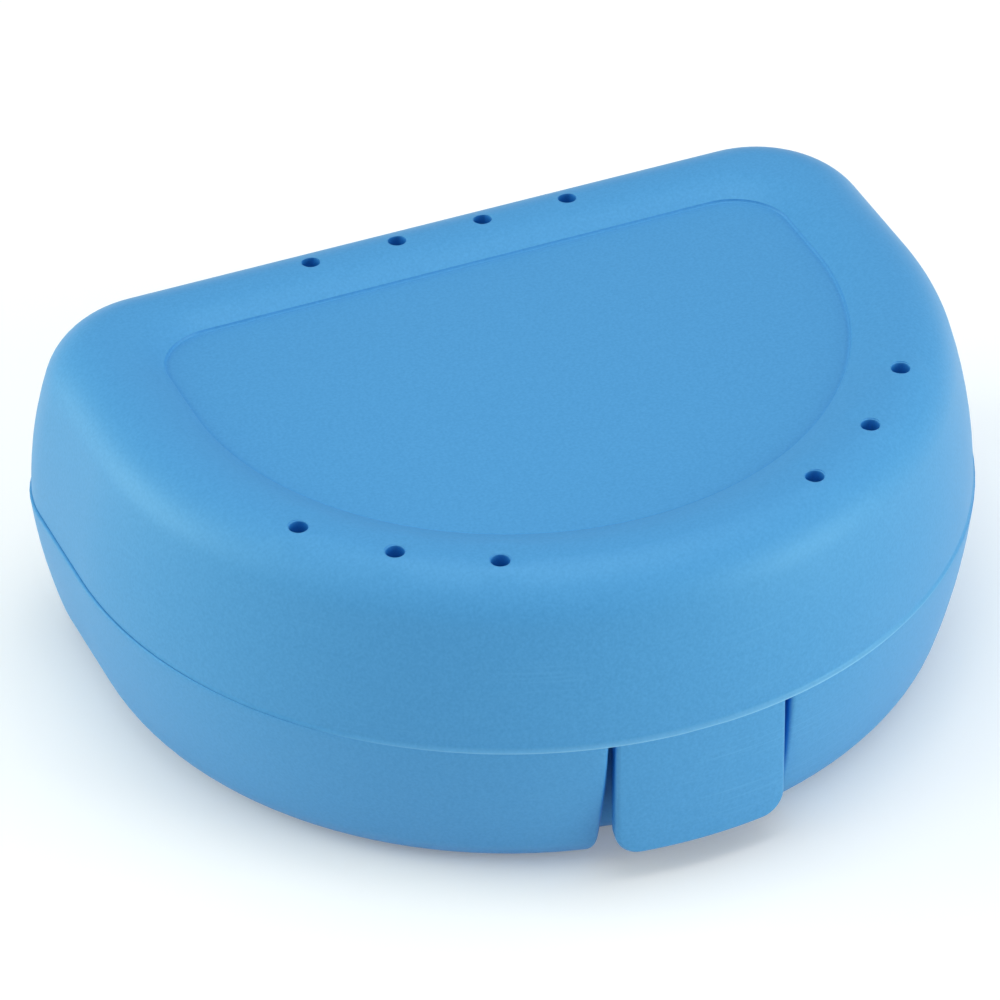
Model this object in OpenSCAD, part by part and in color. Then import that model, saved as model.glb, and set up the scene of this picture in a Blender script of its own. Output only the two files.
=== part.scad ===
// Orthodontic retainer case: a D-shaped tray and a vented lid that swings on two pinned hinges.
// Millimetres. The front is towards -Y, the hinges are at +Y, and the underside lies on Z = 0.
// The origin is the centre of the round front, which the tray and the lid share.

/* [Outline at the parting line] */
// Radius of the lid's round front
front_r = 39.5; // [36:0.1:44]
// Straight run of each side, from the round front to the back corner
side_run = 9.9; // [7:0.1:16]
// Radius of the two back corners
corner_r = 11.8; // [10.5:0.1:15]
// How far the tray's rim stands out past the lid's edge
rim_ledge = 0.2; // [0.1:0.05:0.8]

/* [Lid] */
// Height of the lid, from the parting line to its crown
lid_h = 15.1; // [13:0.1:20]
// Draft of the lid's wall at the parting line, in degrees
lid_draft = 0.6; // [0:0.1:2.5]
// Radius of the wide arc on which the lid's wall bends in above the parting line
lid_bulge = 40; // [36:0.5:60]
// Radius of the rolled shoulder
shoulder_r = 5.5; // [4.8:0.1:6.2]
// Wall of the lid
lid_wall = 1.6; // [1.2:0.1:2]

/* [Panel in the lid's top] */
// Radius of the panel's round front
panel_r = 28.8; // [26:0.1:30]
// Straight run of the panel's sides
panel_side = 5.7; // [4:0.1:6.5]
// Radius of the panel's back corners
panel_corner_r = 5.2; // [4:0.1:6]
// Depth of the panel below the crown
panel_sunk = 1.2; // [0.8:0.05:1.5]
// Sharp step round the panel's edge, at the foot of the roll
panel_step = 0.2; // [0.1:0.05:0.35]

/* [Air vents] */
// Diameter of a vent
vent_d = 1.6; // [1:0.1:2.5]
// Vents along the back
back_vents = 4; // [2:1:5]
// Distance between neighbouring back vents
back_vent_pitch = 8; // [6:0.1:10]
// Distance of the back vents from the lid's back edge
back_vent_inset = 6.4; // [5:0.1:8]
// Vents on each side of the front
front_vents = 3; // [1:1:4]
// Distance of the front vents from the lid's edge
front_vent_inset = 6.1; // [5:0.1:8]
// Turn from the front centre to the first front vent, in degrees
front_vent_start = 24.8; // [18:0.1:32]
// Turn between neighbouring front vents, in degrees
front_vent_step = 14.8; // [8:0.1:18]

/* [Latch tab on the lid] */
// Width of the tab
tab_w = 15.4; // [10:0.1:22]
// Length of the tab below the parting line
tab_drop = 11.7; // [8:0.1:12.5]
// Thickness of the tab
tab_t = 1.8; // [1.4:0.1:2.2]
// Radius of the tab's lower corners
tab_corner_r = 2.2; // [1:0.1:3.5]
// How far the tab stands out past the lid's edge
tab_proud = 0.2; // [0.05:0.05:0.5]
// Height of the flare that leads the lid's wall out to the tab
tab_flare = 1.6; // [1:0.1:2.5]
// Radius of the snap bead across the tab's inner face
bead_r = 0.8; // [0.5:0.05:0.85]
// How far the snap bead stands out of the tab
bead_proud = 0.4; // [0.2:0.05:0.45]
// Length of the snap bead
bead_w = 8; // [4:0.1:9]

/* [Base tray] */
// Height of the tray, from its underside to the parting line
base_h = 14.4; // [13:0.1:18]
// Draft of the tray's outer wall at the parting line, in degrees
base_draft = 5; // [3:0.1:8]
// Radius of the wide arc on which the tray's outer wall bends in below the parting line
base_bulge = 55; // [45:0.5:80]
// Radius round the tray's underside
base_round = 4.5; // [4:0.1:5.5]
// Wall of the tray where it meets the round
base_wall = 1.8; // [1.4:0.1:2.2]
// Floor of the tray
floor_t = 1.8; // [1.4:0.1:2.5]
// Draft of the tray's inside at the parting line, in degrees
core_draft = 0.5; // [0:0.1:2]
// Radius of the wide arc on which the tray's inside and the finger recess bend in
core_bulge = 120; // [80:1:200]
// Height of the locating lip above the parting line
lip_h = 1.6; // [1:0.1:2.5]
// Thickness of the locating lip at the parting line
lip_t = 1.2; // [0.9:0.1:1.6]
// Clearance between the locating lip and the lid
lip_gap = 0.35; // [0.25:0.05:0.5]
// Clearance between the tab and the sides of its notch
notch_side_gap = 0.4; // [0.3:0.1:1.5]
// Clearance between the tab and the shelf that it closes over
notch_gap = 0.7; // [0.6:0.05:1]
// Thickness of the shelf above the finger recess
shelf_t = 1.8; // [1.2:0.1:2.5]
// Depth of the finger recess behind the tab
recess_d = 4.1; // [3:0.1:5]

/* [Hinges] */
// Distance of each hinge's middle from the centre line
hinge_x = 17; // [12:0.1:19]
// Distance of the hinge axis behind the tray's rim
axis_off = 2.6; // [2.5:0.1:4]
// Diameter of a knuckle
knuckle_d = 4.6; // [4:0.1:4.8]
// Slope of the web that carries a knuckle, in degrees
web_slope = 25; // [15:1:40]
// Length of each of a hinge's two tray knuckles
tray_knuckle_len = 4; // [2.5:0.1:5]
// Length of a hinge's lid knuckle
lid_knuckle_len = 6; // [4:0.1:8]
// Clearance between neighbouring knuckles
knuckle_gap = 0.3; // [0.2:0.05:0.5]
// Diameter of a hinge pin
pin_d = 2; // [1.5:0.1:2.4]
// Clearance of the pin in the tray's bores, on the radius
pin_hold = 0.02; // [0.01:0.01:0.05]
// Clearance of the pin in the lid's bore, on the radius
pin_run = 0.08; // [0.05:0.01:0.1]

/* [Hidden] */
$fn = 96;
LEFT = -1;
RIGHT = 1;
lid_blue = "#559BD6";
base_blue = "#4F96D3";
pin_steel = "#C4C8CC";

// A round reaches past its tangent lines by this much, so that it always breaks through them.
blend = 0.004;
// A cutter reaches past the solid that it cuts by this much.
past = 1;
// A web or lip is rooted in its wall by this much.
root = 0.7;

// Outline of the tray and of the lid's inside at the parting line.
base_r = front_r + rim_ledge;
base_corner_r = corner_r + rim_ledge;
lid_skin = snap(lid_wall / cos(lid_draft));
lid_back = side_run + corner_r;
base_back = side_run + base_corner_r;
lip_inset = lid_skin + lip_gap;

// The crown is where the shoulder turns level, and the roll falls from there to the panel.
crown_inset = round_inset(lid_h, lid_draft, lid_bulge, shoulder_r);
roll_w = front_r - crown_inset - panel_r;
roll_drop = panel_sunk - panel_step;
roll_r = (roll_w * roll_w + roll_drop * roll_drop) / (2 * roll_drop);

// Latch: the tab hangs from the lid's front edge and closes over a shelf in the tray.
tab_r = front_r + tab_proud;
tab_inner_r = tab_r - tab_t;
shelf_r = tab_inner_r - notch_gap;
recess_r = base_r - recess_d;
notch_w = tab_w + 2 * notch_side_gap;
bead_z = -shelf_t - bead_r;

// Hinge: the axis lies in the parting plane, behind the tray.
axis_y = base_back + axis_off;
knuckle_r = knuckle_d / 2;
pin_r = pin_d / 2;
hinge_len = lid_knuckle_len + 2 * (knuckle_gap + tray_knuckle_len);
tray_knuckle_x = (lid_knuckle_len + tray_knuckle_len) / 2 + knuckle_gap;

// Whole micrometres, so that neighbouring stretches of a sweep meet exactly.
function snap(size) = round(size * 1000) / 1000;

// Turn at which a bulged wall runs into its round, in degrees.
function round_turn(h, draft, bulge, r) = asin((h - r + bulge * sin(draft)) / (bulge - r));

// Distance from the parting edge in to where the round meets the flat.
function round_inset(h, draft, bulge, r) =
    snap(bulge * cos(draft) - (bulge - r) * cos(round_turn(h, draft, bulge, r)));

// How far a drafted wall leans over a height.
function lean(h, draft) = snap(h * tan(draft));

// Half section of a body that is $reach wide at the parting plane.
// Its wall leaves that plane at the draft, bends in on a wide arc and turns over a round to the flat.
// The section starts below the plane by the given amount.
module body_section(h, draft, bulge, r, below = 0) {
    turn = round_turn(h, draft, bulge, r);
    middle = [$reach - snap(bulge * cos(draft)), -snap(bulge * sin(draft))];
    centre = [$reach - round_inset(h, draft, bulge, r), h - r];
    meet = centre + [snap(r * cos(turn)), snap(r * sin(turn))];
    polygon([
        [0, -below],
        [$reach + lean(below, draft), -below],
        [$reach, 0],
        meet,
        centre,
        [centre.x, h],
        [0, h]
    ]);
    intersection() {
        translate(middle) circle(bulge);
        square([$reach, meet.y]);
    }
    intersection() {
        translate(centre) circle(r + blend);
        square([$reach, h + past]);
    }
}

// Half section of the space over the panel and its roll, $reach wide at the panel's edge.
// A wall thickness moves it down into the lid, for the lid's inside.
module dish_section(wall = 0) {
    floor_z = lid_h - panel_sunk - wall;
    depth = panel_sunk + wall + past;
    translate([0, floor_z]) square([$reach, depth]);
    difference() {
        translate([0, floor_z]) square([$reach + roll_w, depth]);
        translate([$reach + roll_w, lid_h - roll_r]) circle(roll_r - wall + blend);
    }
}

// Sweeps a half section round a D: half turn in front, straight sides and back, quarter turns between.
module sweep_dee(r, side, corner) {
    rotate([0, 0, 180]) rotate_extrude(angle = 180) let ($reach = r) children();
    translate([0, side, 0]) rotate([90, 0, 0]) linear_extrude(height = side) let ($reach = r) {
        children();
        mirror([1, 0]) children();
    }
    for (turn = [0, 1]) mirror([turn, 0, 0]) translate([r - corner, side, 0])
        rotate_extrude(angle = 90) let ($reach = corner) children();
    translate([corner - r, side, 0]) rotate([90, 0, 90]) linear_extrude(height = 2 * (r - corner))
        let ($reach = corner) children();
}

// Moves the lid's and the latch's own heights, counted from the parting plane, to their place.
module at_parting() {
    translate([0, 0, base_h]) children();
}

// Turns a body that is drawn upwards from the parting plane into one that hangs below it.
module hung() {
    at_parting() mirror([0, 0, 1]) children();
}

module lid_dish(wall = 0) {
    sweep_dee(panel_r, panel_side, panel_corner_r) dish_section(wall);
}

module lid_shell() {
    difference() {
        sweep_dee(front_r, side_run, corner_r) body_section(lid_h, lid_draft, lid_bulge, shoulder_r);
        lid_dish();
        difference() {
            sweep_dee(front_r - lid_skin, side_run, corner_r - lid_skin)
                body_section(lid_h - lid_wall, lid_draft, lid_bulge - lid_wall, shoulder_r - lid_wall, past);
            lid_dish(lid_wall);
        }
    }
}

// Outline of the tab as seen from the front, with round lower corners.
module tab_outline() {
    corner_x = tab_w / 2 - tab_corner_r;
    translate([-tab_w / 2, tab_corner_r - tab_drop]) square([tab_w, tab_drop + tab_flare - tab_corner_r]);
    translate([-corner_x, -tab_drop]) square([2 * corner_x, tab_drop]);
    for (side = [LEFT, RIGHT]) translate([side * corner_x, tab_corner_r - tab_drop]) circle(tab_corner_r);
}

// Tab, its flare on the lid's wall and its snap bead.
module latch_tab() {
    tab_turn = 2 * asin(tab_w / 2 / tab_inner_r);
    bead_turn = asin(bead_w / 2 / tab_inner_r);
    root_r = front_r - root;
    intersection() {
        rotate([0, 0, -90 - tab_turn]) rotate_extrude(angle = 2 * tab_turn) polygon([
            [tab_inner_r, -tab_drop],
            [tab_r, -tab_drop],
            [tab_r, tab_proud],
            [root_r, tab_flare],
            [root_r, 0],
            [tab_inner_r, 0]
        ]);
        rotate([90, 0, 0]) linear_extrude(height = tab_r + past) tab_outline();
    }
    rotate([0, 0, -90 - bead_turn]) rotate_extrude(angle = 2 * bead_turn)
        translate([tab_inner_r + bead_r - bead_proud, bead_z]) circle(bead_r);
}

module vents() {
    first_x = -(back_vents - 1) / 2 * back_vent_pitch;
    for (i = [0:back_vents - 1]) translate([first_x + i * back_vent_pitch, lid_back - back_vent_inset, 0])
        cylinder(h = lid_h + past, d = vent_d);
    for (side = [LEFT, RIGHT], i = [0:front_vents - 1])
        rotate([0, 0, -90 + side * (front_vent_start + i * front_vent_step)])
            translate([front_r - front_vent_inset, 0, 0]) cylinder(h = lid_h + past, d = vent_d);
}

// Section of a knuckle about the hinge axis, with the web that carries it from a wall.
// wall_off is the wall's distance at the parting plane, and lift keeps the web off that plane.
module knuckle_section(wall_off, draft, lift, bore_r) {
    root_x = -wall_off - root;
    root_h = (knuckle_r - root_x * sin(web_slope)) / cos(web_slope);
    difference() {
        union() {
            circle(knuckle_r);
            polygon([
                [root_x, lift],
                [0, lift],
                knuckle_r * [sin(web_slope), cos(web_slope)],
                [root_x, root_h],
                [root_x - lean(root_h, draft), root_h]
            ]);
        }
        circle(bore_r);
    }
}

// A stretch of knuckle along the hinge axis, centred at x.
module knuckle(x, length) {
    translate([x - length / 2, axis_y, 0]) rotate([90, 0, 90]) linear_extrude(height = length) children();
}

module lid() {
    color(lid_blue) at_parting() {
        difference() {
            lid_shell();
            vents();
        }
        latch_tab();
        for (side = [LEFT, RIGHT]) knuckle(side * hinge_x, lid_knuckle_len)
            knuckle_section(axis_y - lid_back, lid_draft, lip_gap, pin_r + pin_run);
    }
}

// Tray's outside, drawn upwards from the parting plane.
module tray_outside() {
    sweep_dee(base_r, side_run, base_corner_r) body_section(base_h, base_draft, base_bulge, base_round);
}

// Tray's inside, open past the top of the locating lip.
module tray_inside() {
    inset = lip_inset + lip_t;
    sweep_dee(front_r - inset, side_run, corner_r - inset)
        body_section(base_h - floor_t, core_draft, core_bulge, base_round - base_wall, lip_h + past);
}

// What the finger recess leaves of the round front. A wall thickness sets it in for the tray's inside.
module recess_front(wall = 0) {
    rotate([0, 0, 180]) rotate_extrude(angle = 180) let ($reach = recess_r - snap(wall / cos(core_draft)))
        body_section(base_h - wall, core_draft, core_bulge, base_round - wall, past);
}

// Block across the front of the tray, from a depth below the parting plane down past the underside.
module front_block(width, depth) {
    translate([-width / 2, -base_r - past, depth]) cube([width, base_r + past, base_h + past]);
}

// Filled locating lip, whose face follows the lid's inner wall.
module lip_body() {
    sweep_dee(front_r - lip_inset, side_run, corner_r - lip_inset) polygon([
        [0, -root],
        [$reach + lean(root, lid_draft), -root],
        [$reach - lean(lip_h, lid_draft), lip_h],
        [0, lip_h]
    ]);
}

// Notch for the tab, down to the shelf's edge and through the whole rim.
module tab_notch() {
    difference() {
        translate([-notch_w / 2, -base_r - past, -base_h]) cube([notch_w, base_r, base_h + lip_h + past]);
        translate([0, 0, -base_h - past]) cylinder(h = base_h + lip_h + 3 * past, r = shelf_r);
    }
}

module base_tray() {
    color(base_blue) {
        difference() {
            union() {
                hung() tray_outside();
                at_parting() lip_body();
            }
            hung() difference() {
                tray_inside();
                difference() {
                    front_block(notch_w + 2 * base_wall, -lip_h - 2 * past);
                    recess_front(base_wall);
                }
            }
            hung() difference() {
                front_block(notch_w, shelf_t);
                recess_front();
            }
            at_parting() tab_notch();
        }
        at_parting() for (side = [LEFT, RIGHT], end = [LEFT, RIGHT])
            knuckle(side * hinge_x + end * tray_knuckle_x, tray_knuckle_len) mirror([0, 1])
                knuckle_section(axis_off, base_draft, 0, pin_r + pin_hold);
    }
}

module hinge_pin(side) {
    color(pin_steel) at_parting() translate([side * hinge_x - hinge_len / 2, axis_y, 0])
        rotate([0, 90, 0]) cylinder(h = hinge_len, r = pin_r);
}

module hinge_pin_left() {
    hinge_pin(LEFT);
}

module hinge_pin_right() {
    hinge_pin(RIGHT);
}

base_tray();
lid();
hinge_pin_left();
hinge_pin_right();
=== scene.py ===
import math

import bmesh
import bpy
from mathutils import Matrix, Vector


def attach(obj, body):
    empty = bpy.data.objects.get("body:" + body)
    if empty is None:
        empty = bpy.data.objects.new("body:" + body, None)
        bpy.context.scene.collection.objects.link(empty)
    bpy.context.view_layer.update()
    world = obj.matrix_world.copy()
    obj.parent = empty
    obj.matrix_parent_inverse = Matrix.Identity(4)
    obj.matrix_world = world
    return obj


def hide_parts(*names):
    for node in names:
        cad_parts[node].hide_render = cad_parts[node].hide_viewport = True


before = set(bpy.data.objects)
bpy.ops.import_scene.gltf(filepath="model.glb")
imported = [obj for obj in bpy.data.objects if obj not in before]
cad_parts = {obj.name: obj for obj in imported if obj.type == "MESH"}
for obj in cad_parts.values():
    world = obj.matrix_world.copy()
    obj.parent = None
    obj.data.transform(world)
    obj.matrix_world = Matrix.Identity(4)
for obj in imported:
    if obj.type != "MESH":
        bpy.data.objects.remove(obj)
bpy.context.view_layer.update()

# Sizes are in millimetres and degrees, as in the part's source. A mesh goes to metres when it is
# made a piece.
MM = 0.001
PARTING_Z = 14.4
SIDE_RUN = 9.9
EDGE_R = 0.2

# Points this near to a line lie on it, and ones this near to each other are level.
NEAR = 0.01
LEVEL = 0.001

LID_R = 39.5
LID_CORNER_R = 11.8
LID_H = 15.1
LID_DRAFT = 0.6
LID_BULGE = 40.0
LID_WALL = 1.6
LID_SKIN = LID_WALL / math.cos(math.radians(LID_DRAFT))
LID_BACK = SIDE_RUN + LID_CORNER_R
LID_ROWS = (0.26, 0.32, 0.4, 0.5, 0.6, 1, 2, 3.5, 5, 6.5, 8, 9.5)
LID_INNER_ROWS = (8, 4, EDGE_R)
SHOULDER_R = 5.5

# The shoulder stops this far round, and the panel's roll begins as far on its other side.
CREST_TURN = 84

# The lid's lower lip flares out most a little right of the front's middle.
LIP_FLARE = 0.25
LIP_FLARE_H = 0.35
LIP_FLARE_POWER = 1.5
LIP_LAND_H = 0.05
LIP_BAND = 0.5
LIP_MIDDLE_TURN = 10
CRISP_GAIN = 1.5

PANEL_R = 28.8
PANEL_SIDE = 5.7
PANEL_CORNER_R = 5.2
PANEL_SUNK = 1.2
PANEL_STEP = 0.2

# The fine groove round the panel, and the fillet under it: insets, and heights over the flat.
PANEL_GROOVE = ((0.03, 0.12), (0.08, 0.02), (0.15, -0.035), (0.24, -0.04), (0.36, -0.02), (0.5, 0))
PANEL_FILLET = ((0.3, 0.08), (0.7, 0))

VENT_R = 0.8
VENT_EDGE_R = 0.1
VENT_EDGE_TURNS = (0, 22, 45, 67, 85)
VENT_SEAT_R = 3.0
VENT_SEAT_GAIN = 1.2
VENT_SEAT_DROP = 0.06
BACK_VENT_PITCH = 8.0
BACK_VENT_INSET = 6.4
FRONT_VENT_INSET = 6.1
FRONT_VENT_TURNS = (24.8, 39.6, 54.4)

TAB_R = 39.7
TAB_T = 1.8
TAB_W = 15.4
TAB_DROP = 11.7
TAB_CORNER_R = 2.2
TAB_EDGE_R = 0.45
TAB_BACK_EDGE_R = 0.4
TAB_ROOT_H = 0.2
TAB_ROOT_IN = 0.5
TAB_STRIPS = 27
BEAD_R = 0.8
BEAD_W = 8.0
BEAD_EDGE_R = 0.5
BEAD_PROUD = 0.4
BEAD_Z = -2.6

TRAY_R = 39.7
TRAY_CORNER_R = 12.0
TRAY_DRAFT = 5.0
TRAY_BULGE = 55.0
TRAY_ROUND = 4.5
TRAY_WALL = 1.8
TRAY_ROWS = (4.5, 6, 8, 10, 12, 13.4)
FLOOR_T = 1.8
CORE_DRAFT = 0.5
CORE_BULGE = 120.0
CORE_ROWS = (13, 10, 7)
LIP_H = 1.6
LIP_INSET = TRAY_R - LID_R + LID_SKIN + 0.35
LIP_CHAMFER = 0.15
LIP_CHAMFER_H = 0.2
CORE_INSET = LIP_INSET + 1.2
NOTCH_HALF = TAB_W / 2 + 0.4
NOTCH_EDGE_R = 0.6
NOTCH_BLEND_TURN = 44
SHELF_R = TAB_R - TAB_T - 0.7
SHELF_T = 1.8
RECESS_R = TRAY_R - 4.1
RECESS_FOOT_TURN = 84
RECESS_ROW = 8

# The recess makes a bump on the tray's inside, which is sunk into the wall and the floor there.
BUMP_IN_WALL = 0.5
BUMP_FOOT = FLOOR_T - 0.6
BUMP_BACK = ((0, PARTING_Z + LIP_H), (0.4, PARTING_Z - 8), (1.2, 3), (2.5, BUMP_FOOT))

HINGE_X = 17.0
AXIS_OUT = 2.6
AXIS_Y = SIDE_RUN + TRAY_CORNER_R + AXIS_OUT
# A hair under the part's 2.3, so that the knuckles stay inside its box.
KNUCKLE_R = 2.297
KNUCKLE_EDGE_R = 0.2
WEB_SLOPE = 25.0
WEB_ROOT = 0.7
TRAY_KNUCKLE_LEN = 4.0
TRAY_KNUCKLE_X = 5.3
LID_KNUCKLE_LEN = 6.0
LID_KNUCKLE_LIFT = 0.35
PIN_R = 1.0
PIN_LEN = 14.6
PIN_EDGE_R = 0.2
BORE_R = PIN_R + 0.04


def wall_inset(height, draft, bulge):
    """How far a bulged wall has bent in at a height from the parting plane."""
    a = math.radians(draft)
    return bulge * math.cos(a) - math.sqrt(bulge ** 2 - (height + bulge * math.sin(a)) ** 2)


def round_turn(height, draft, bulge, radius):
    """Turn at which a bulged wall runs into its round, in degrees."""
    rise = height - radius + bulge * math.sin(math.radians(draft))
    return math.degrees(math.asin(rise / (bulge - radius)))


def round_inset(height, draft, bulge, radius):
    """Distance from the parting edge in to where the round meets the flat."""
    turn = math.radians(round_turn(height, draft, bulge, radius))
    return bulge * math.cos(math.radians(draft)) - (bulge - radius) * math.cos(turn)


def arc(inset, height, radius, start, end, steps):
    """Points of a section on an arc. At 0 degrees they lie on its outer side, at 90 on top."""
    turns = [math.radians(start + (end - start) * i / steps) for i in range(steps + 1)]
    return [(inset - radius * math.cos(a), height + radius * math.sin(a)) for a in turns]


def verts_of(geometry):
    return [g for g in geometry if isinstance(g, bmesh.types.BMVert)]


def whole(bm):
    return bm.verts[:] + bm.edges[:] + bm.faces[:]


def strip_of(bm, points):
    """A chain of edges through points."""
    verts = [bm.verts.new(p) for p in points]
    return verts + [bm.edges.new(pair) for pair in zip(verts, verts[1:])]


def spin(bm, strip, steps, degrees=0.0, centre=(0, 0, 0), way=(0, 0, 0)):
    """Carries a strip round an upright axis, or straight along a way, and gives its last place."""
    return bmesh.ops.spin(
        bm, geom=strip, cent=centre, axis=(0, 0, 1), angle=math.radians(degrees), steps=steps,
        dvec=Vector(way) / steps, use_merge=False, use_duplicate=False)["geom_last"]


def sweep_dee(bm, section, front_r, side_run, corner_r, front_steps=120):
    """Sweeps a section of insets and heights round a D, from the middle of its round front."""
    side_steps, corner_steps, back_steps = 4, 18, 20
    corner_x = front_r - corner_r
    strip = strip_of(bm, [(0, inset - front_r, height) for inset, height in section])
    strip = spin(bm, strip, front_steps, 90)
    strip = spin(bm, strip, side_steps, way=(0, side_run, 0))
    strip = spin(bm, strip, corner_steps, 90, (corner_x, side_run, 0))
    strip = spin(bm, strip, back_steps, way=(-2 * corner_x, 0, 0))
    strip = spin(bm, strip, corner_steps, 90, (-corner_x, side_run, 0))
    strip = spin(bm, strip, side_steps, way=(0, -side_run, 0))
    spin(bm, strip, front_steps, 90)
    bmesh.ops.remove_doubles(bm, verts=bm.verts, dist=0.002)


def rim_at(bm, height, off=0.05):
    """Edges of an open rim that lies at a height."""
    return [e for e in bm.edges
            if e.is_boundary and all(abs(v.co.z - height) < off for v in e.verts)]


def fill_rim(bm, height):
    bmesh.ops.contextual_create(bm, geom=rim_at(bm, height))


def front_wedge(section, half_width, half_turn=20, steps=21):
    """A closed block on the round front: a ring's section of radii and heights, cut off at its sides."""
    bm = bmesh.new()
    points = [(0, -radius, height) for radius, height in section]
    strip = strip_of(bm, points + points[:1])
    bmesh.ops.rotate(
        bm, verts=bm.verts, cent=(0, 0, 0), matrix=Matrix.Rotation(math.radians(-half_turn), 3, "Z"))
    spin(bm, strip, steps, 2 * half_turn)
    bmesh.ops.remove_doubles(bm, verts=bm.verts, dist=0.001)
    for side in (-1, 1):
        bmesh.ops.bisect_plane(
            bm, geom=whole(bm), plane_co=(side * half_width, 0, 0), plane_no=(side, 0, 0),
            clear_outer=True)
        bmesh.ops.contextual_create(
            bm, geom=[e for e in bm.edges if e.is_boundary and e.verts[0].co.x * side > 0])
    bmesh.ops.recalc_face_normals(bm, faces=bm.faces)
    return bm


def mesh_object(name, bm):
    mesh = bpy.data.meshes.new(name)
    bm.to_mesh(mesh)
    bm.free()
    made = bpy.data.objects.new(name, mesh)
    bpy.context.scene.collection.objects.link(made)
    return made


def carve(body, tool, operation):
    """Cuts one closed mesh out of another, or joins it on."""
    body, tool = mesh_object("body", body), mesh_object("tool", tool)
    cut = body.modifiers.new("cut", "BOOLEAN")
    cut.object, cut.operation, cut.solver = tool, operation, "EXACT"
    carved = bmesh.new()
    carved.from_object(body, bpy.context.evaluated_depsgraph_get())
    for used in (body, tool):
        mesh = used.data
        bpy.data.objects.remove(used)
        bpy.data.meshes.remove(mesh)
    return carved


def cleaned(bm):
    """The mesh without the slivers that cuts leave."""
    bmesh.ops.remove_doubles(bm, verts=bm.verts, dist=0.003)
    bmesh.ops.dissolve_degenerate(bm, edges=bm.edges, dist=0.001)
    bmesh.ops.recalc_face_normals(bm, faces=bm.faces)
    return bm


def joined(parts):
    """One mesh of several, with each part's own shell kept."""
    together = bmesh.new()
    for part in parts:
        mesh = bpy.data.meshes.new("part")
        part.to_mesh(mesh)
        part.free()
        together.from_mesh(mesh)
        bpy.data.meshes.remove(mesh)
    return together


def moulded(name, bm, sharp_angle=38):
    """Turns a mesh in millimetres to a piece in metres, smooth up to a crease angle."""
    bmesh.ops.scale(bm, verts=bm.verts, vec=(MM, MM, MM))
    piece = mesh_object(name, bm)
    piece.data.shade_smooth()
    piece.data.set_sharp_from_angle(angle=math.radians(sharp_angle))
    return piece


def lay_along_x(bm):
    """Turns an upright form on its side, along X."""
    bmesh.ops.rotate(bm, verts=bm.verts, cent=(0, 0, 0), matrix=Matrix.Rotation(math.pi / 2, 3, "Y"))


def bend_to_front(bm, radius):
    """Bends a flat form, drawn in front view with its depth along Y, round the upright front."""
    for v in bm.verts:
        turn, reach = math.asin(v.co.x / radius), radius - v.co.y
        v.co.x, v.co.y = reach * math.sin(turn), -reach * math.cos(turn)


def front_fade(v):
    """1 a little right of the front's middle, falling to 0 where the round front ends."""
    turn = math.degrees(math.atan2(v.co.x, -v.co.y)) - LIP_MIDDLE_TURN
    if abs(turn + LIP_MIDDLE_TURN) >= 90:
        return 0
    span = 90 - LIP_MIDDLE_TURN if turn > 0 else 90 + LIP_MIDDLE_TURN
    return max(0, math.cos(math.radians(90 * turn / span)))


def vent_seats():
    """Where each vent's mouth lies, the way the crown faces there, and its slope."""
    crown_inset = round_inset(LID_H, LID_DRAFT, LID_BULGE, SHOULDER_R)
    back_tilt = math.asin((crown_inset - BACK_VENT_INSET) / SHOULDER_R)
    front_tilt = math.asin((crown_inset - FRONT_VENT_INSET) / SHOULDER_R)
    back_z, front_z = [LID_H - SHOULDER_R * (1 - math.cos(tilt)) for tilt in (back_tilt, front_tilt)]
    seats = [((i - 1.5) * BACK_VENT_PITCH, LID_BACK - BACK_VENT_INSET, back_z, 90, back_tilt)
             for i in range(4)]
    reach = LID_R - FRONT_VENT_INSET
    for turn in FRONT_VENT_TURNS:
        for side in (-1, 1):
            facing = -90 + side * turn
            a = math.radians(facing)
            seats.append((reach * math.cos(a), reach * math.sin(a), front_z - VENT_SEAT_DROP,
                          facing, front_tilt))
    return seats


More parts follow.
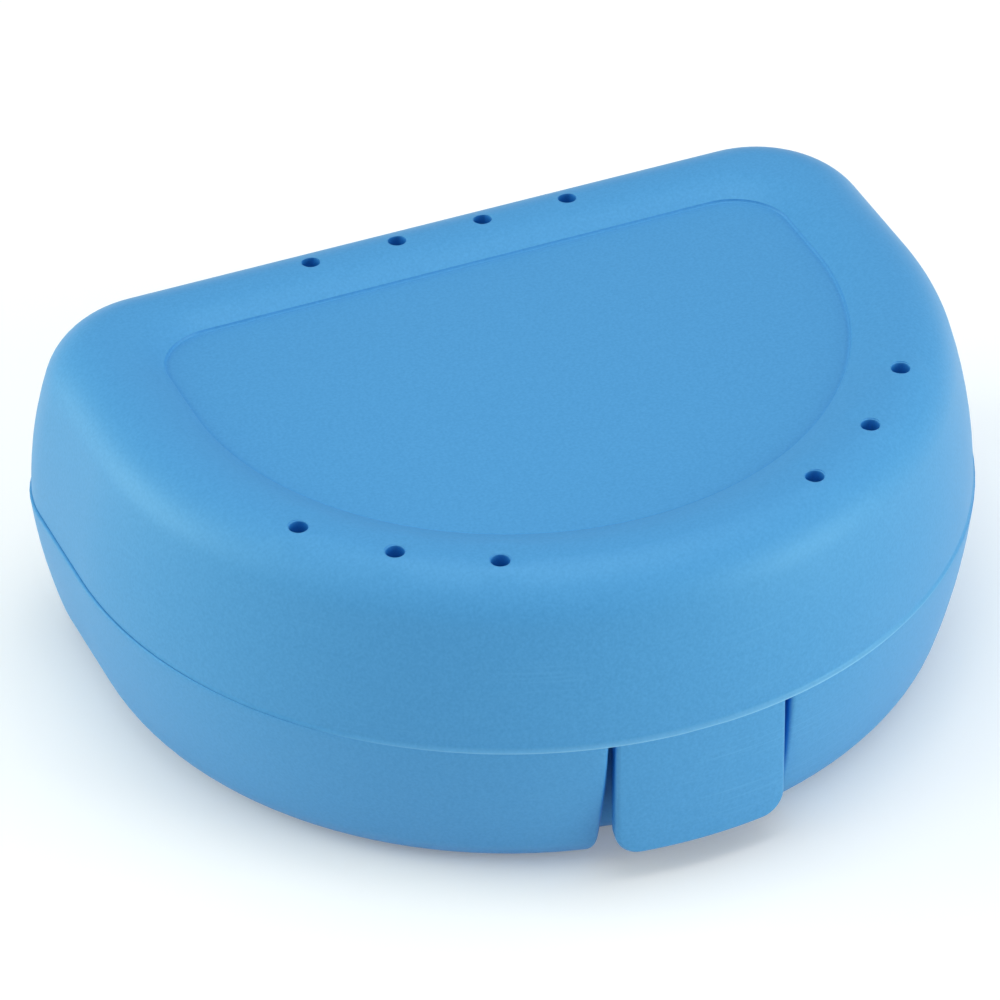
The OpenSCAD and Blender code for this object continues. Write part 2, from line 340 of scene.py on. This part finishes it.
def lid_shell():
    """The lid's wall, rolled shoulder, crown, roll and sunk panel, as one closed shell."""
    crown_inset = round_inset(LID_H, LID_DRAFT, LID_BULGE, SHOULDER_R)
    shoulder_turn = round_turn(LID_H, LID_DRAFT, LID_BULGE, SHOULDER_R)
    inner_shoulder_r = SHOULDER_R - LID_WALL
    crown_z = LID_H - SHOULDER_R
    roll_w = LID_R - crown_inset - PANEL_R
    roll_drop = PANEL_SUNK - PANEL_STEP
    roll_r = (roll_w ** 2 + roll_drop ** 2) / (2 * roll_drop)
    roll_z = LID_H - roll_r
    roll_start = 180 - CREST_TURN
    roll_end = 180 - math.degrees(math.acos(roll_w / roll_r))
    panel_z = LID_H - PANEL_SUNK
    under_z = panel_z - LID_WALL

    bm = bmesh.new()
    inner = [(LID_SKIN + wall_inset(z, LID_DRAFT, LID_BULGE - LID_WALL), z) for z in LID_INNER_ROWS]
    outer = [(wall_inset(z, LID_DRAFT, LID_BULGE), z) for z in LID_ROWS]
    wall = (
        arc(crown_inset, crown_z, inner_shoulder_r, CREST_TURN, shoulder_turn, 12)
        + inner + [(LID_SKIN - EDGE_R, 0)] + arc(EDGE_R, EDGE_R, EDGE_R, -90, 0, 4) + outer
        + arc(crown_inset, crown_z, SHOULDER_R, shoulder_turn, CREST_TURN, 20))
    sweep_dee(bm, wall, LID_R, SIDE_RUN, LID_CORNER_R)
    roll = arc(-roll_w, roll_z, roll_r, roll_start, roll_end, 8) + [
        (inset, panel_z + rise) for inset, rise in PANEL_GROOVE]
    sweep_dee(bm, roll, PANEL_R, PANEL_SIDE, PANEL_CORNER_R)
    under = arc(-roll_w, roll_z, roll_r - LID_WALL, roll_start, roll_end + 8, 6) + [
        (inset, under_z + rise) for inset, rise in PANEL_FILLET]
    sweep_dee(bm, under, PANEL_R, PANEL_SIDE, PANEL_CORNER_R)
    for radius in (SHOULDER_R, inner_shoulder_r):
        crest = crown_z + radius * math.sin(math.radians(CREST_TURN))
        bmesh.ops.bridge_loops(bm, edges=rim_at(bm, crest))
    fill_rim(bm, panel_z)
    fill_rim(bm, under_z)
    bmesh.ops.recalc_face_normals(bm, faces=bm.faces)

    # The lower edge is crisp and flares out a little in front. Round the back it is rounded and flush.
    for v in bm.verts:
        reach, fade = math.hypot(v.co.x, v.co.y), front_fade(v)
        if v.co.z < LIP_FLARE_H and reach > LID_R - LIP_BAND and fade > 0:
            crisp = min(1, CRISP_GAIN * fade) * max(0, LID_R - reach) if v.co.z < EDGE_R else 0
            drop = min(1, (LIP_FLARE_H - v.co.z) / (LIP_FLARE_H - LIP_LAND_H))
            flare = LIP_FLARE * fade * drop ** LIP_FLARE_POWER
            grow = min(1 + (crisp + flare) / reach, -TAB_R / v.co.y)
            v.co.x, v.co.y = v.co.x * grow, v.co.y * grow

    # Round each front vent the crown's slope is taken away, so that the mouth lies level.
    for x, y, _, _, tilt in vent_seats():
        for v in bm.verts:
            off = math.hypot(v.co.x - x, v.co.y - y) / VENT_SEAT_R
            if y < 0 and off < 1:
                downhill = math.hypot(v.co.x, v.co.y) - math.hypot(x, y)
                share = 0.5 + 0.5 * math.cos(math.pi * off)
                v.co.z += VENT_SEAT_GAIN * downhill * math.tan(tilt) * share
    return bm


def vent_cutter():
    """Ten upright pins that leave holes with rounded mouths. At the back the mouths follow the slope."""
    depth, above = 4, 1.2
    mouth_r = VENT_R + VENT_EDGE_R
    mouth = [(mouth_r - VENT_EDGE_R * math.cos(math.radians(a)),
              VENT_EDGE_R * (math.sin(math.radians(a)) - 1)) for a in VENT_EDGE_TURNS]
    profile = [(0, -depth), (VENT_R, -depth)] + mouth + [
        (mouth_r, 0.04), (mouth_r + 0.3, above), (0, above)]
    pins = []
    for x, y, z, facing, tilt in vent_seats():
        pin = bmesh.new()
        strip = strip_of(pin, [(radius, 0, height) for radius, height in profile])
        bmesh.ops.spin(
            pin, geom=strip, cent=(0, 0, 0), axis=(0, 0, 1), angle=2 * math.pi, steps=40,
            dvec=(0, 0, 0), use_merge=True, use_duplicate=False)
        bmesh.ops.remove_doubles(pin, verts=pin.verts, dist=0.0005)
        bmesh.ops.recalc_face_normals(pin, faces=pin.faces)
        for v in pin.verts:
            if y > 0:
                v.co.z -= v.co.x * math.tan(tilt) * min(1, max(0, 1 + v.co.z / VENT_EDGE_R))
        place = Matrix.Translation((x, y, z)) @ Matrix.Rotation(math.radians(facing), 4, "Z")
        bmesh.ops.transform(pin, matrix=place, verts=pin.verts)
        pins.append(pin)
    return joined(pins)


def snap_bead():
    """A short bar with rounded ends, half sunk in the tab's inner face."""
    bm = bmesh.new()
    bmesh.ops.create_cone(bm, cap_ends=True, segments=20, radius1=BEAD_R, radius2=BEAD_R, depth=BEAD_W)
    ends = [e for e in bm.edges if abs(abs(e.verts[0].co.z) - BEAD_W / 2) < LEVEL
            and abs(e.verts[0].co.z - e.verts[1].co.z) < LEVEL]
    bmesh.ops.bevel(
        bm, geom=ends, offset=BEAD_EDGE_R, offset_type="OFFSET", segments=4, profile=0.5,
        affect="EDGES", material=-1)
    lay_along_x(bm)
    bmesh.ops.translate(bm, verts=bm.verts, vec=(0, TAB_T - BEAD_R + BEAD_PROUD, BEAD_Z))
    return bm


def latch_tab():
    """The tab that hangs from the lid's front edge: round lower corners, rounded edges, a snap bead."""
    bm = bmesh.new()
    bmesh.ops.create_grid(bm, x_segments=1, y_segments=1, size=0.5)
    bmesh.ops.scale(bm, verts=bm.verts, vec=(TAB_W, TAB_DROP + TAB_ROOT_H, 1))
    bmesh.ops.translate(bm, verts=bm.verts, vec=(0, (TAB_ROOT_H - TAB_DROP) / 2, 0))
    bmesh.ops.bevel(
        bm, geom=[v for v in bm.verts if v.co.y < -TAB_DROP / 2], offset=TAB_CORNER_R,
        offset_type="OFFSET", segments=10, profile=0.5, affect="VERTICES", material=-1)
    bmesh.ops.rotate(bm, verts=bm.verts, cent=(0, 0, 0), matrix=Matrix.Rotation(math.pi / 2, 3, "X"))
    back = bmesh.ops.extrude_face_region(bm, geom=bm.faces[:])["geom"]
    bmesh.ops.translate(bm, verts=verts_of(back), vec=(0, TAB_T, 0))
    bmesh.ops.recalc_face_normals(bm, faces=bm.faces)
    for depth, radius in ((0, TAB_EDGE_R), (TAB_T, TAB_BACK_EDGE_R)):
        rim = [e for e in bm.edges if all(abs(v.co.y - depth) < LEVEL for v in e.verts)
               and not all(v.co.z > TAB_ROOT_H - NEAR for v in e.verts)]
        bmesh.ops.bevel(
            bm, geom=rim, offset=radius, offset_type="OFFSET", segments=5, profile=0.5,
            affect="EDGES", material=-1)

    # Above the parting plane the tab's root steps in, so that it ends inside the lid's wall.
    bmesh.ops.bisect_plane(bm, geom=whole(bm), plane_co=(0, 0, 0), plane_no=(0, 0, 1))
    for v in bm.verts:
        if v.co.z > TAB_ROOT_H / 2 and v.co.y < TAB_T / 2:
            v.co.y += TAB_ROOT_IN
    bm = carve(bm, snap_bead(), "UNION")

    # Upright cuts let the flat tab bend round the front.
    for i in range(1, TAB_STRIPS):
        x = (i - TAB_STRIPS / 2) * TAB_W / TAB_STRIPS
        bmesh.ops.bisect_plane(bm, geom=whole(bm), plane_co=(x, 0, 0), plane_no=(1, 0, 0))
    bend_to_front(bm, TAB_R)
    return bm


def knuckle(middle_x, length, wall_off, lift, up):
    """A hinge knuckle with the web that carries it, and its bore. Up is 1 on the lid, -1 on the tray."""
    slope = math.radians(WEB_SLOPE)
    root_y = -wall_off - WEB_ROOT
    root_z = (KNUCKLE_R - root_y * math.sin(slope)) / math.cos(slope)
    start = 180 - math.degrees(math.asin(lift / KNUCKLE_R))
    end = 360 + 90 - WEB_SLOPE
    outline = [(KNUCKLE_R * math.cos(math.radians(a)), KNUCKLE_R * math.sin(math.radians(a)))
               for a in [start + (end - start) * i / 40 for i in range(41)]]
    outline += [(root_y, root_z), (root_y, lift)]
    bm = bmesh.new()
    bm.faces.new([bm.verts.new((-length / 2, y, up * z)) for y, z in outline])
    far = bmesh.ops.extrude_face_region(bm, geom=bm.faces[:])["geom"]
    bmesh.ops.translate(bm, verts=verts_of(far), vec=(length, 0, 0))
    bmesh.ops.recalc_face_normals(bm, faces=bm.faces)
    ends = [e for e in bm.edges if abs(e.verts[0].co.x - e.verts[1].co.x) < LEVEL
            and all(v.co.y > root_y + WEB_ROOT / 2 for v in e.verts)]
    bmesh.ops.bevel(
        bm, geom=ends, offset=KNUCKLE_EDGE_R, offset_type="OFFSET", segments=3, profile=0.5,
        affect="EDGES", material=-1)
    bore = bmesh.new()
    bmesh.ops.create_cone(
        bore, cap_ends=True, segments=48, radius1=BORE_R, radius2=BORE_R, depth=length + 2)
    lay_along_x(bore)
    bm = carve(bm, bore, "DIFFERENCE")
    bmesh.ops.translate(bm, verts=bm.verts, vec=(middle_x, AXIS_Y, 0))
    return bm


def lid_moulding():
    bm = lid_shell()
    knuckles = [knuckle(side * HINGE_X, LID_KNUCKLE_LEN, AXIS_Y - LID_BACK, LID_KNUCKLE_LIFT, 1)
                for side in (-1, 1)]
    for part in [latch_tab()] + knuckles:
        bm = carve(bm, part, "UNION")
    bm = cleaned(carve(bm, vent_cutter(), "DIFFERENCE"))
    bmesh.ops.translate(bm, verts=bm.verts, vec=(0, 0, PARTING_Z))
    return moulded("lid_moulding", bm)


def tray_reach(height):
    """Radius of the tray's round front at a height above its underside."""
    size = (PARTING_Z, TRAY_DRAFT, TRAY_BULGE, TRAY_ROUND)
    if height > TRAY_ROUND * (1 - math.sin(math.radians(round_turn(*size)))):
        return TRAY_R - wall_inset(PARTING_Z - height, TRAY_DRAFT, TRAY_BULGE)
    return TRAY_R - round_inset(*size) + math.sqrt(TRAY_ROUND ** 2 - (TRAY_ROUND - height) ** 2)


def tray_shell():
    """The tray's underside, outer wall, rim, locating lip, inner wall and floor, as one closed shell."""
    outside = (PARTING_Z, TRAY_DRAFT, TRAY_BULGE, TRAY_ROUND)
    core_r = TRAY_ROUND - TRAY_WALL
    inside = (PARTING_Z - FLOOR_T, CORE_DRAFT, CORE_BULGE, core_r)
    lip_top = PARTING_Z + LIP_H
    lip_out = LIP_INSET + LIP_H * math.tan(math.radians(LID_DRAFT))
    section = (
        arc(round_inset(*outside), TRAY_ROUND, TRAY_ROUND, -90, -round_turn(*outside), 14)
        + [(wall_inset(PARTING_Z - z, TRAY_DRAFT, TRAY_BULGE), z) for z in TRAY_ROWS]
        + arc(EDGE_R, PARTING_Z - EDGE_R, EDGE_R, -TRAY_DRAFT, 90, 5)
        + [(LIP_INSET, PARTING_Z), (lip_out, lip_top - LIP_CHAMFER_H), (lip_out + LIP_CHAMFER, lip_top),
           (CORE_INSET - LIP_CHAMFER, lip_top), (CORE_INSET, lip_top - LIP_CHAMFER)]
        + [(CORE_INSET + wall_inset(PARTING_Z - z, CORE_DRAFT, CORE_BULGE), z) for z in CORE_ROWS]
        + arc(CORE_INSET + round_inset(*inside), FLOOR_T + core_r, core_r, -round_turn(*inside), -90, 10))
    bm = bmesh.new()
    sweep_dee(bm, section, TRAY_R, SIDE_RUN, TRAY_CORNER_R, front_steps=32)
    fill_rim(bm, 0)
    fill_rim(bm, FLOOR_T)
    bmesh.ops.recalc_face_normals(bm, faces=bm.faces)

    # Under the lid's flared lip the rim is crisp.
    for v in bm.verts:
        reach = math.hypot(v.co.x, v.co.y)
        on_round = abs(v.co.z - PARTING_Z + EDGE_R / 2) < EDGE_R / 2 + NEAR
        if on_round and reach > TRAY_R - EDGE_R - NEAR:
            grow = 1 + min(1, CRISP_GAIN * front_fade(v)) * max(0, TRAY_R - reach) / reach
            v.co.x, v.co.y = v.co.x * grow, v.co.y * grow

    # Near the tab the mesh's upright lines are turned to run along the notch's sides.
    edge_turn, blend_turn = math.asin(NOTCH_HALF / TRAY_R), math.radians(NOTCH_BLEND_TURN)
    for v in bm.verts:
        reach, turn = math.hypot(v.co.x, v.co.y), math.atan2(v.co.x, -v.co.y)
        share = min(abs(turn) / edge_turn, (blend_turn - abs(turn)) / (blend_turn - edge_turn))
        if share > 0:
            turn += math.copysign(share * (math.asin(NOTCH_HALF / reach) - edge_turn), turn)
            v.co.x, v.co.y = reach * math.sin(turn), -reach * math.cos(turn)
    return bm


def recess_front(wall, stop):
    """Radii and heights of the finger recess, or of its bump on the tray's inside, from its foot up."""
    radius = TRAY_ROUND - wall
    reach = RECESS_R - wall / math.cos(math.radians(CORE_DRAFT))
    size = (PARTING_Z - wall, CORE_DRAFT, CORE_BULGE, radius)
    low = arc(round_inset(*size), wall + radius, radius, -RECESS_FOOT_TURN, -round_turn(*size), 10)
    high = [(wall_inset(PARTING_Z - z, CORE_DRAFT, CORE_BULGE), z) for z in (RECESS_ROW, stop)]
    return [(reach - inset, z) for inset, z in low + high]


def tray_moulding():
    lip_top, shelf_z = PARTING_Z + LIP_H, PARTING_Z - SHELF_T
    in_wall = TRAY_R - CORE_INSET + BUMP_IN_WALL
    bump_face = recess_front(TRAY_WALL, lip_top)
    bump = [(bump_face[0][0], BUMP_FOOT)] + bump_face + [
        (in_wall - setback, height) for setback, height in BUMP_BACK]
    above, below, outside = lip_top + 1, -1, TRAY_R + 3
    recess_face = recess_front(0, shelf_z)
    recess = [(recess_face[0][0], below)] + recess_face + [
        (SHELF_R, shelf_z), (SHELF_R, above), (outside, above), (outside, below)]
    bm = carve(tray_shell(), front_wedge(bump, NOTCH_HALF + TRAY_WALL), "UNION")
    bm = carve(bm, front_wedge(recess, NOTCH_HALF), "DIFFERENCE")

    # The upright outer corners of the notch are rounded.
    corners = [e for e in bm.edges if e.is_convex and all(
        abs(abs(v.co.x) - NOTCH_HALF) < NEAR and v.co.y < 0 and 0.02 < v.co.z < PARTING_Z - 0.02
        and abs(math.hypot(v.co.x, v.co.y) - tray_reach(v.co.z)) < 0.2 for v in e.verts)]
    bmesh.ops.bevel(
        bm, geom=corners, offset=NOTCH_EDGE_R, offset_type="OFFSET", segments=6, profile=0.5,
        affect="EDGES", material=-1)
    knuckles = [knuckle(side * HINGE_X + end * TRAY_KNUCKLE_X, TRAY_KNUCKLE_LEN, AXIS_OUT, 0, -1)
                for side in (-1, 1) for end in (-1, 1)]
    for part in knuckles:
        bmesh.ops.translate(part, verts=part.verts, vec=(0, 0, PARTING_Z))
        bm = carve(bm, part, "UNION")
    return moulded("tray_moulding", cleaned(bm))


def hinge_pin(name, side):
    """A cut length of wire with broken edges at its ends."""
    bm = bmesh.new()
    bmesh.ops.create_cone(bm, cap_ends=True, segments=48, radius1=PIN_R, radius2=PIN_R, depth=PIN_LEN)
    ends = [e for e in bm.edges if abs(e.verts[0].co.z - e.verts[1].co.z) < LEVEL]
    bmesh.ops.bevel(
        bm, geom=ends, offset=PIN_EDGE_R, offset_type="OFFSET", segments=3, profile=0.5,
        affect="EDGES", material=-1)
    lay_along_x(bm)
    bmesh.ops.translate(bm, verts=bm.verts, vec=(side * HINGE_X, AXIS_Y, PARTING_Z))
    return moulded(name, bm)


def linear(hex_colour):
    """An sRGB hex colour as the linear values that a shader takes."""
    parts = [int(hex_colour[i:i + 2], 16) / 255 for i in (1, 3, 5)]
    return [p / 12.92 if p <= 0.04045 else ((p + 0.055) / 1.055) ** 2.4 for p in parts] + [1.0]


def grey(level):
    """A linear grey, for masks and levels."""
    return (level, level, level, 1)


def new_material(name):
    material = bpy.data.materials.new(name)
    material.use_nodes = True
    tree = material.node_tree
    tree.nodes.clear()
    return material, tree


def add(tree, kind, inputs, stops=(), **settings):
    """Adds a node with its settings. An input, by name or number, is a value or an output to link.

    The stops are a colour ramp's positions and linear colours.
    """
    node = tree.nodes.new(kind)
    for key, value in settings.items():
        setattr(node, key, value)
    for key, value in inputs.items():
        if isinstance(value, bpy.types.NodeSocket):
            tree.links.new(value, node.inputs[key])
        else:
            node.inputs[key].default_value = value
    for _ in stops[2:]:
        node.color_ramp.elements.new(1.0)
    for i, (position, colour) in enumerate(stops):
        element = node.color_ramp.elements[i]
        element.position, element.color = position, colour
    return node


def moulded_polypropylene():
    """Satin polypropylene from a lightly blasted mould: an even, slightly waxy blue with no hard shine.

    A Mix node of colours takes its share at input 0 and the colours at 6 and 7, and gives output 2.
    """
    material, tree = new_material("moulded_polypropylene")
    place = add(tree, "ShaderNodeTexCoord", {}).outputs["Object"]
    black, white = grey(0), grey(1)

    # The blasted grain is drawn at 0.25 mm, coarser than the real one, so that it still shows.
    grain = add(tree, "ShaderNodeTexNoise", {
        "Vector": place, "Scale": 1 / (0.25 * MM), "Detail": 2.0}).outputs["Fac"]
    colour = add(tree, "ShaderNodeValToRGB", {"Fac": grain}, [
        (0.3, linear("#4A95D0")), (0.7, linear("#529DD8"))]).outputs["Color"]
    normal = add(tree, "ShaderNodeBump", {
        "Height": grain, "Strength": 0.5, "Distance": 0.012 * MM}).outputs["Normal"]

    # The satin drifts a little over about 15 mm.
    drift = add(tree, "ShaderNodeTexNoise", {
        "Vector": place, "Scale": 1 / (15 * MM), "Detail": 2.0}).outputs["Fac"]
    satin = add(tree, "ShaderNodeValToRGB", {"Fac": drift}, [
        (0.3, grey(0.42)), (0.7, grey(0.48))]).outputs["Color"]

    # Two masks by height: the walls, and all but the foot, the tray's floor and the parting line.
    spot = add(tree, "ShaderNodeSeparateXYZ", {"Vector": place}).outputs
    height = add(tree, "ShaderNodeMapRange", {
        "Value": spot["Z"], "From Max": 2 * PARTING_Z * MM}).outputs["Result"]
    walls = add(tree, "ShaderNodeValToRGB", {"Fac": height}, [
        (0.06, black), (0.16, white), (0.83, white), (0.93, black)]).outputs["Color"]
    clear = add(tree, "ShaderNodeValToRGB", {"Fac": height}, [
        (0.03, black), (0.13, white), (0.485, white), (0.493, black), (0.508, black),
        (0.516, white)]).outputs["Color"]

    # Hairline scuffs run level round the walls, in patches of about 13 mm, a shade paler than the
    # plastic. They are 14 mm long and drawn 0.2 mm wide, wider than real ones, so that they show.
    along = add(tree, "ShaderNodeMapping", {
        "Vector": place, "Scale": [1 / (length * MM) for length in (14, 14, 0.2)]}).outputs["Vector"]
    lines = add(tree, "ShaderNodeTexNoise", {
        "Vector": along, "Scale": 1.0, "Detail": 1.0}).outputs["Fac"]
    hairs = add(tree, "ShaderNodeValToRGB", {"Fac": lines}, [
        (0.58, black), (0.75, white)]).outputs["Color"]
    patches = add(tree, "ShaderNodeTexNoise", {
        "Vector": place, "Scale": 1 / (13 * MM)}).outputs["Fac"]
    worn = add(tree, "ShaderNodeValToRGB", {"Fac": patches}, [
        (0.5, black), (0.7, white)]).outputs["Color"]
    worn_walls = add(tree, "ShaderNodeMath", {0: worn, 1: walls}, operation="MULTIPLY").outputs["Value"]
    scuffs = add(tree, "ShaderNodeMath", {0: hairs, 1: worn_walls}, operation="MULTIPLY").outputs["Value"]
    colour = add(tree, "ShaderNodeMix", {
        0: scuffs, 6: colour, 7: linear("#58A1DA")}, data_type="RGBA").outputs[2]
    normal = add(tree, "ShaderNodeBump", {
        "Height": scuffs, "Normal": normal, "Strength": 0.1, "Distance": 0.01 * MM}).outputs["Normal"]

    # A painted highlight: a pale band along the lid's lower edge in front, just above the parting line.
    rise = add(tree, "ShaderNodeMapRange", {
        "Value": spot["Z"], "From Min": (PARTING_Z - 0.2) * MM,
        "From Max": (PARTING_Z + 0.8) * MM}).outputs["Result"]
    edge = add(tree, "ShaderNodeValToRGB", {"Fac": rise}, [
        (0.19, black), (0.2, white), (0.3, grey(0.35)), (0.7, black)]).outputs["Color"]
    front = add(tree, "ShaderNodeMapRange", {
        "Value": spot["Y"], "From Min": -25 * MM, "From Max": -38 * MM}).outputs["Result"]
    painted_lip_highlight = add(tree, "ShaderNodeMath", {0: edge, 1: front}, operation="MULTIPLY").outputs["Value"]
    colour = add(tree, "ShaderNodeMix", {
        0: painted_lip_highlight, 6: colour, 7: linear("#8AC6ED")}, data_type="RGBA").outputs[2]

    # Painted shade: in gaps and holes, where ambient occlusion finds the surface shut in, the colour is
    # mixed toward a deeper blue.
    # The foot, which the floor shuts in, and the fine parting line keep the plain colour.
    open_sky = add(tree, "ShaderNodeAmbientOcclusion", {"Distance": 3 * MM}, samples=6).outputs["AO"]
    painted_shade_mask = add(tree, "ShaderNodeValToRGB", {"Fac": open_sky}, [
        (0.4, white), (0.8, black)]).outputs["Color"]
    painted_hollow_shade = add(tree, "ShaderNodeMath", {0: painted_shade_mask, 1: clear}, operation="MULTIPLY").outputs["Value"]
    colour = add(tree, "ShaderNodeMix", {
        0: painted_hollow_shade, 6: colour, 7: linear("#1C80DA")}, data_type="RGBA").outputs[2]

    shader = add(tree, "ShaderNodeBsdfPrincipled", {
        "Base Color": colour, "Roughness": satin, "Normal": normal, "IOR": 1.49,
        "Specular Tint": (0.45, 0.85, 1.0, 1.0)})
    add(tree, "ShaderNodeOutputMaterial", {"Surface": shader.outputs["BSDF"]})
    return material


def drawn_steel():
    """Stainless wire, drawn bright: fine lines along its length that spread the shine across it."""
    material, tree = new_material("drawn_steel")
    place = add(tree, "ShaderNodeTexCoord", {}).outputs["Object"]
    # The drawing lines are 0.15 mm apart here, coarser than real ones, so that they still show.
    along = add(tree, "ShaderNodeMapping", {
        "Vector": place, "Scale": [1 / (length * MM) for length in (6, 0.15, 0.15)]}).outputs["Vector"]
    lines = add(tree, "ShaderNodeTexNoise", {"Vector": along, "Scale": 1.0}).outputs["Fac"]
    colour = add(tree, "ShaderNodeValToRGB", {"Fac": lines}, [
        (0.35, linear("#B4B8BC")), (0.65, linear("#CDD0D3"))]).outputs["Color"]
    normal = add(tree, "ShaderNodeBump", {
        "Height": lines, "Strength": 0.4, "Distance": 0.01 * MM}).outputs["Normal"]
    shader = add(tree, "ShaderNodeBsdfPrincipled", {
        "Base Color": colour, "Normal": normal, "Metallic": 1.0, "Roughness": 0.3})
    add(tree, "ShaderNodeOutputMaterial", {"Surface": shader.outputs["BSDF"]})
    return material


def toward(turn, elevation):
    """The way to a place round the object. Its turn is 0 in front and 90 at the object's right."""
    turn, elevation = math.radians(turn), math.radians(elevation)
    return Vector((math.sin(turn) * math.cos(elevation), -math.cos(turn) * math.cos(elevation),
                   math.sin(elevation)))


def photograph_camera():
    """Camera from a fit to the photograph's outline: degrees, metres, and pixels of a 1000 px frame."""
    azimuth, elevation, roll = -22.9, 36.38, math.radians(-0.78)
    target = Vector((-2.9, -4.1, PARTING_Z)) * MM
    distance = 0.57
    focal_px, frame_px = 6684, 1000
    back = toward(azimuth, elevation)
    level = Vector((math.cos(math.radians(azimuth)), math.sin(math.radians(azimuth)), 0))
    upright = back.cross(level)
    right = level * math.cos(roll) + upright * math.sin(roll)
    up = upright * math.cos(roll) - level * math.sin(roll)
    camera = bpy.data.objects.new("camera", bpy.data.cameras.new("camera"))
    bpy.context.scene.collection.objects.link(camera)
    camera.data.sensor_width = 36
    camera.data.lens = focal_px * camera.data.sensor_width / frame_px
    turned = Matrix((right, up, back)).transposed().to_4x4()
    camera.matrix_world = Matrix.Translation(target + back * distance) @ turned
    bpy.context.scene.camera = camera


def softbox(name, turn, elevation, size, power, colour="#FFFFFF", distance=0.8):
    """A square lamp that faces the object. Sizes are in metres and the power is in watts."""
    lamp = bpy.data.lights.new(name, "AREA")
    lamp.shape, lamp.size, lamp.energy, lamp.color = "SQUARE", size, power, linear(colour)[:3]
    holder = bpy.data.objects.new(name, lamp)
    bpy.context.scene.collection.objects.link(holder)
    aim = toward(turn, elevation)
    holder.location = aim * distance
    holder.rotation_euler = aim.to_track_quat("Z", "Y").to_euler()


def studio_light():
    """A dim, slightly cool surround, which fills the shade between the lamps."""
    world = bpy.data.worlds.new("studio")
    bpy.context.scene.world = world
    world.use_nodes = True
    surround = world.node_tree.nodes["Background"].inputs
    surround["Color"].default_value = linear("#E8F6FF")
    surround["Strength"].default_value = 0.37


def white_floor():
    """A wide matt sheet. It is seen a little lifted, so that it is white round the object's shadow."""
    half_width, drop = 3.0, 0.02 * MM
    material, tree = new_material("white_paper")
    path = add(tree, "ShaderNodeLightPath", {}).outputs
    mirrored = add(tree, "ShaderNodeMath", {
        0: path["Is Glossy Ray"], 1: path["Is Transmission Ray"]}, operation="MAXIMUM").outputs["Value"]
    seen = add(tree, "ShaderNodeMath", {
        0: path["Is Camera Ray"], 1: mirrored}, operation="MAXIMUM").outputs["Value"]
    shader = add(tree, "ShaderNodeBsdfPrincipled", {
        "Base Color": linear("#F2F2F2"), "Roughness": 0.9, "Emission Color": grey(0.16),
        "Emission Strength": seen})
    add(tree, "ShaderNodeOutputMaterial", {"Surface": shader.outputs["BSDF"]})
    bm = bmesh.new()
    bmesh.ops.create_grid(bm, x_segments=1, y_segments=1, size=half_width)
    bmesh.ops.translate(bm, verts=bm.verts, vec=(0, 0, -drop))
    floor = mesh_object("floor", bm)
    floor.data.materials.append(material)


plastic = moulded_polypropylene()
steel = drawn_steel()
pieces = (
    (lid_moulding(), "lid", "lid", plastic, "case_plastic"),
    (tray_moulding(), "base_tray", "tray", plastic, "case_plastic"),
    (hinge_pin("pin_left", -1), "hinge_pin_left", "tray", steel, "pin_steel"),
    (hinge_pin("pin_right", 1), "hinge_pin_right", "tray", steel, "pin_steel"))
for piece, node, body, material, slot in pieces:
    piece.data.materials.append(material)
    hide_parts(node)
    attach(piece, body)

photograph_camera()
softbox("top_box", 180, 88, 0.5, 1.88)
softbox("high_front_box", 0, 60, 0.6, 0.5)
softbox("high_right_box", 90, 60, 0.6, 0.6)
softbox("high_left_box", -90, 60, 0.6, 0.4)
softbox("front_right_box", 49, 14, 0.4, 3.25, "#FFFEE8")
softbox("left_box", -106, 30, 0.6, 1.75, "#FFFEE2")
softbox("back_left_box", -122, 11, 0.4, 2.15, "#FFFEE2")
studio_light()
white_floor()
bpy.context.scene.view_settings.view_transform = "Standard"
